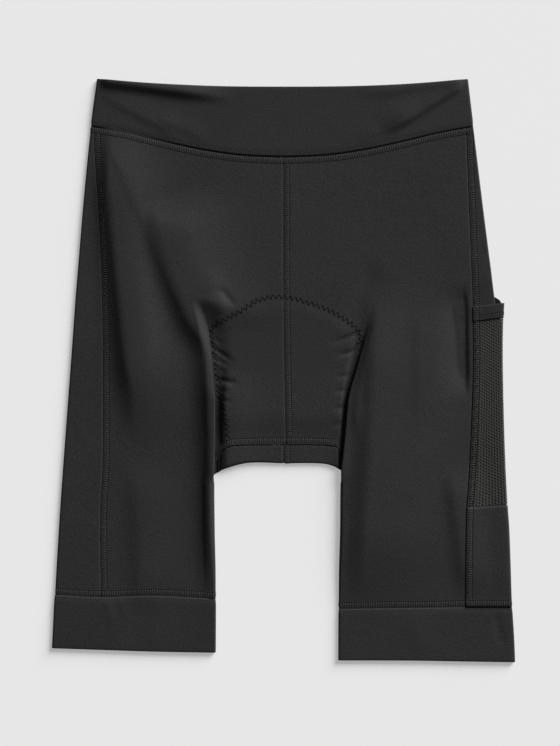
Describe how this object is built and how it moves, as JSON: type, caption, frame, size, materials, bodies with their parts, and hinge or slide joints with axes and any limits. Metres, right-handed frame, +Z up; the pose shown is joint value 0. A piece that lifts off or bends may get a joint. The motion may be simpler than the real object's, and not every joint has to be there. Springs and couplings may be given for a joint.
{
  "type": "cycling shorts",
  "caption": "Close-fitting knee-length cycling shorts laid flat with the front up, with a deep waistband, leg cuffs, a shaped crotch and a net thigh pocket.",
  "frame": {"origin": "under the middle of the garment as it lies, on the surface it rests on", "axes": "+Z up from the surface, +Y towards the waist, +X towards the side with the pocket"},
  "size_m": [0.4326, 0.5449, 0.0062],
  "materials": {
    "knit": "matte charcoal stretch knit",
    "net": "matte dark grey open net"
  },
  "bodies": {
    "root": {"waistband_front": "knit", "waistband_back": "knit", "front_left": "knit", "front_right": "knit", "side_left": "knit", "side_right": "knit", "back_left": "knit", "back_right": "knit", "cuff_left": "knit", "cuff_right": "knit", "pocket_binding": "knit", "pocket_base": "knit", "pocket_net": "net"}
  },
  "joints": []
}
